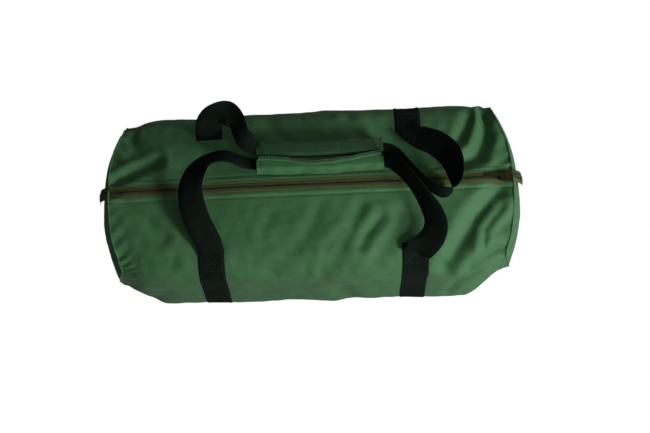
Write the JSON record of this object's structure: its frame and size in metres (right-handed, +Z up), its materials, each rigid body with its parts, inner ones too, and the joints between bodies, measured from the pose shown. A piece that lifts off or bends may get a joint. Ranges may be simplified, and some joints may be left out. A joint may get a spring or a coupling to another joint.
{
  "type": "telescope carry case",
  "caption": "Soft padded carry case for a small telescope, with a zipped top that opens in two halves and two webbing handles that meet in a padded grip.",
  "frame": {"origin": "middle of the footprint, on the floor plane under the webbing bands", "axes": "+X along the case towards the end where the zip slider parks, +Y to the back, +Z up"},
  "size_m": [0.6236, 0.2558, 0.2553],
  "materials": {
    "outer_fabric": "satin coated polyester",
    "foam": "soft foam",
    "lining": "matt",
    "piping": "satin",
    "webbing": "woven",
    "zip_tape": "matt woven",
    "zip_coil": "satin",
    "zip_metal": "dark plated",
    "grip_fabric": "satin coated polyester",
    "closure": "hook and loop"
  },
  "bodies": {
    "case": {"back_wall_foam": "foam", "back_wall_lining": "lining", "back_wall_panel": "outer_fabric", "base_foam": "foam", "base_lining": "lining", "base_panel": "outer_fabric", "front_wall_foam": "foam", "front_wall_lining": "lining", "front_wall_panel": "outer_fabric", "left_end_foam": "foam", "left_end_lining": "lining", "left_end_panel": "outer_fabric", "left_end_piping": "piping", "left_webbing_band": "webbing", "left_zip_end_tab": "zip_tape", "right_end_foam": "foam", "right_end_lining": "lining", "right_end_panel": "outer_fabric", "right_end_piping": "piping", "right_webbing_band": "webbing", "right_zip_end_tab": "zip_tape"},
    "front_top": {"front_left_webbing_top": "webbing", "front_right_webbing_top": "webbing", "front_top_foam": "foam", "front_top_lining": "lining", "front_top_panel": "outer_fabric", "front_zip_coil": "zip_coil", "front_zip_stops": "zip_metal", "front_zip_tape": "zip_tape"},
    "back_top": {"back_left_webbing_top": "webbing", "back_right_webbing_top": "webbing", "back_top_foam": "foam", "back_top_lining": "lining", "back_top_panel": "outer_fabric", "back_zip_coil": "zip_coil", "back_zip_stops": "zip_metal", "back_zip_tape": "zip_tape"},
    "front_handle": {"front_grip_cover": "grip_fabric", "front_grip_foam": "foam", "front_handle_webbing": "webbing", "grip_hook_strip": "closure"},
    "back_handle": {"back_grip_cover": "grip_fabric", "back_grip_foam": "foam", "back_handle_webbing": "webbing", "grip_loop_strip": "closure"},
    "slider": {"zip_slider": "zip_metal"},
    "pull": {"zip_pull": "zip_metal"}
  },
  "joints": [
    {"name": "front_top_open", "type": "hinge", "parent": "case", "child": "front_top", "pos_m": [0, -0.128, 0.1359], "axis": [1, 0, 0], "range_deg": [0, 110]},
    {"name": "back_top_open", "type": "hinge", "parent": "case", "child": "back_top", "pos_m": [0, 0.128, 0.1359], "axis": [-1, 0, 0], "range_deg": [0, 110]},
    {"name": "front_handle_swing", "type": "hinge", "parent": "front_top", "child": "front_handle", "pos_m": [0, -0.09, 0.178], "axis": [1, 0, 0], "range_deg": [0, 45]},
    {"name": "back_handle_swing", "type": "hinge", "parent": "back_top", "child": "back_handle", "pos_m": [0, 0.077, 0.1805], "axis": [-1, 0, 0], "range_deg": [0, 60]},
    {"name": "zip_slider_slide", "type": "slide", "parent": "case", "child": "slider", "axis": [-1, 0, 0], "range_m": [0, 0.566]},
    {"name": "zip_pull_swing", "type": "hinge", "parent": "slider", "child": "pull", "pos_m": [0.283, 0, 0.1954], "axis": [0, 1, 0], "range_deg": [0, 150]}
  ],
  "couplings": [
    {"joint": "back_top_open", "follows": "front_top_open", "ratio": 1}
  ]
}
